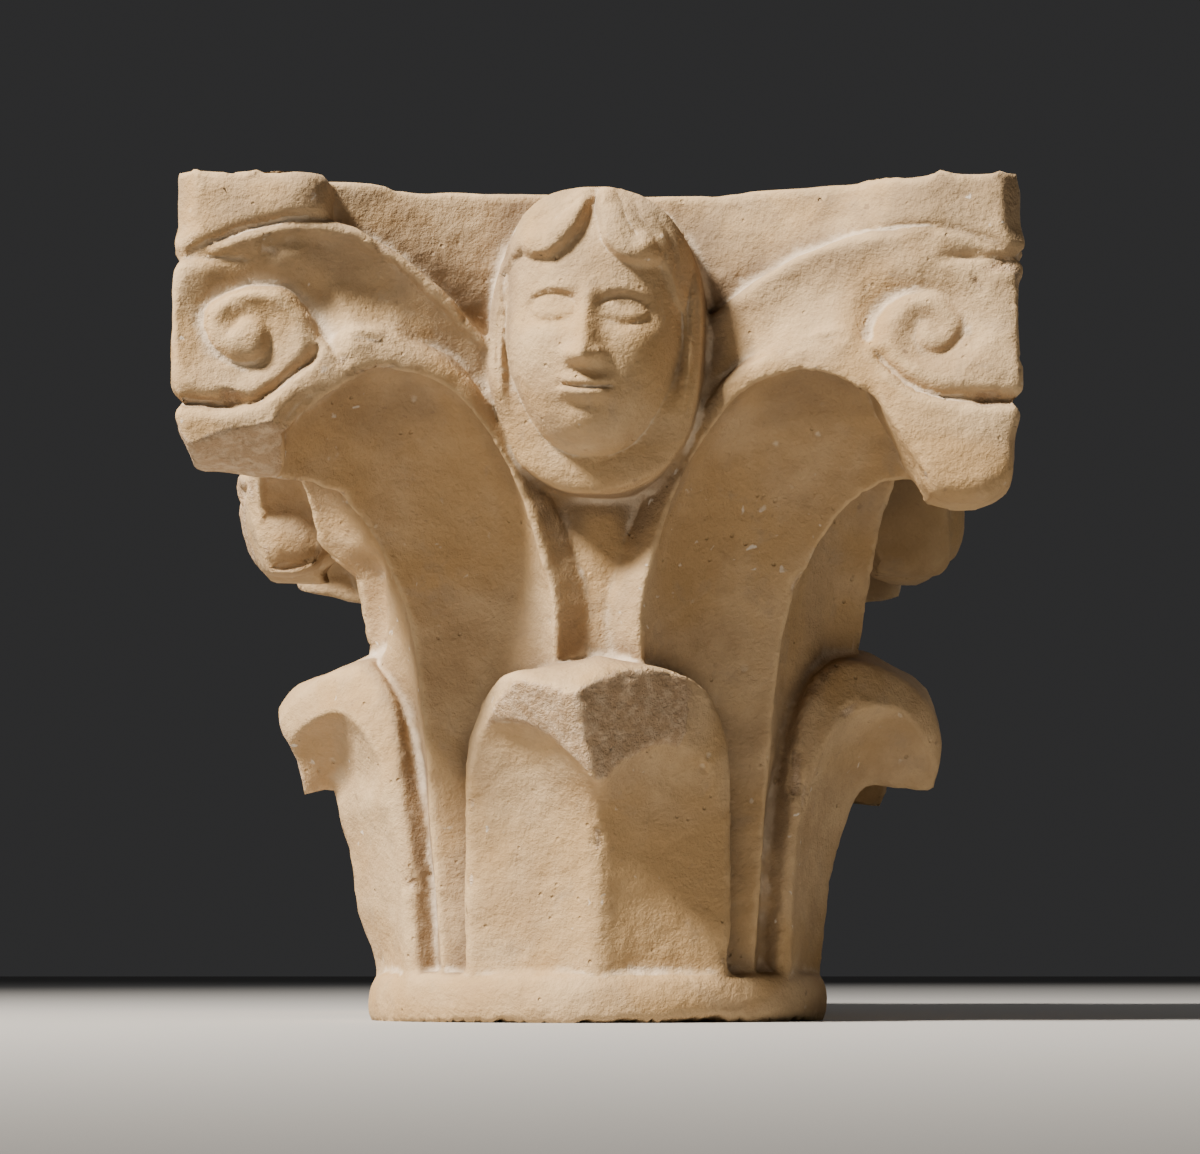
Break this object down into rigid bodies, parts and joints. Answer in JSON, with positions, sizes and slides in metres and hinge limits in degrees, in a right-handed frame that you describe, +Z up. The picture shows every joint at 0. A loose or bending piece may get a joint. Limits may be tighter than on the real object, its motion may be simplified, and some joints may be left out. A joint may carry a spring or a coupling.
{
  "type": "double capital",
  "caption": "Carved stone double capital for paired columns: two leaf baskets joined under one hollow-sided abacus with corner volutes and a head at the end",
  "frame": {"origin": "middle of the underside, midway between the two column axes, in the plane of the two astragals' undersides", "axes": "+Z up; Y along the length, from one column axis to the other, with the pictured end and its head towards -Y; X across"},
  "size_m": [0.3294, 0.6176, 0.323],
  "materials": {
    "stone": "weathered, finely granular, warm cream stone"
  },
  "bodies": {
    "root": {"double_capital": "stone"}
  },
  "joints": []
}
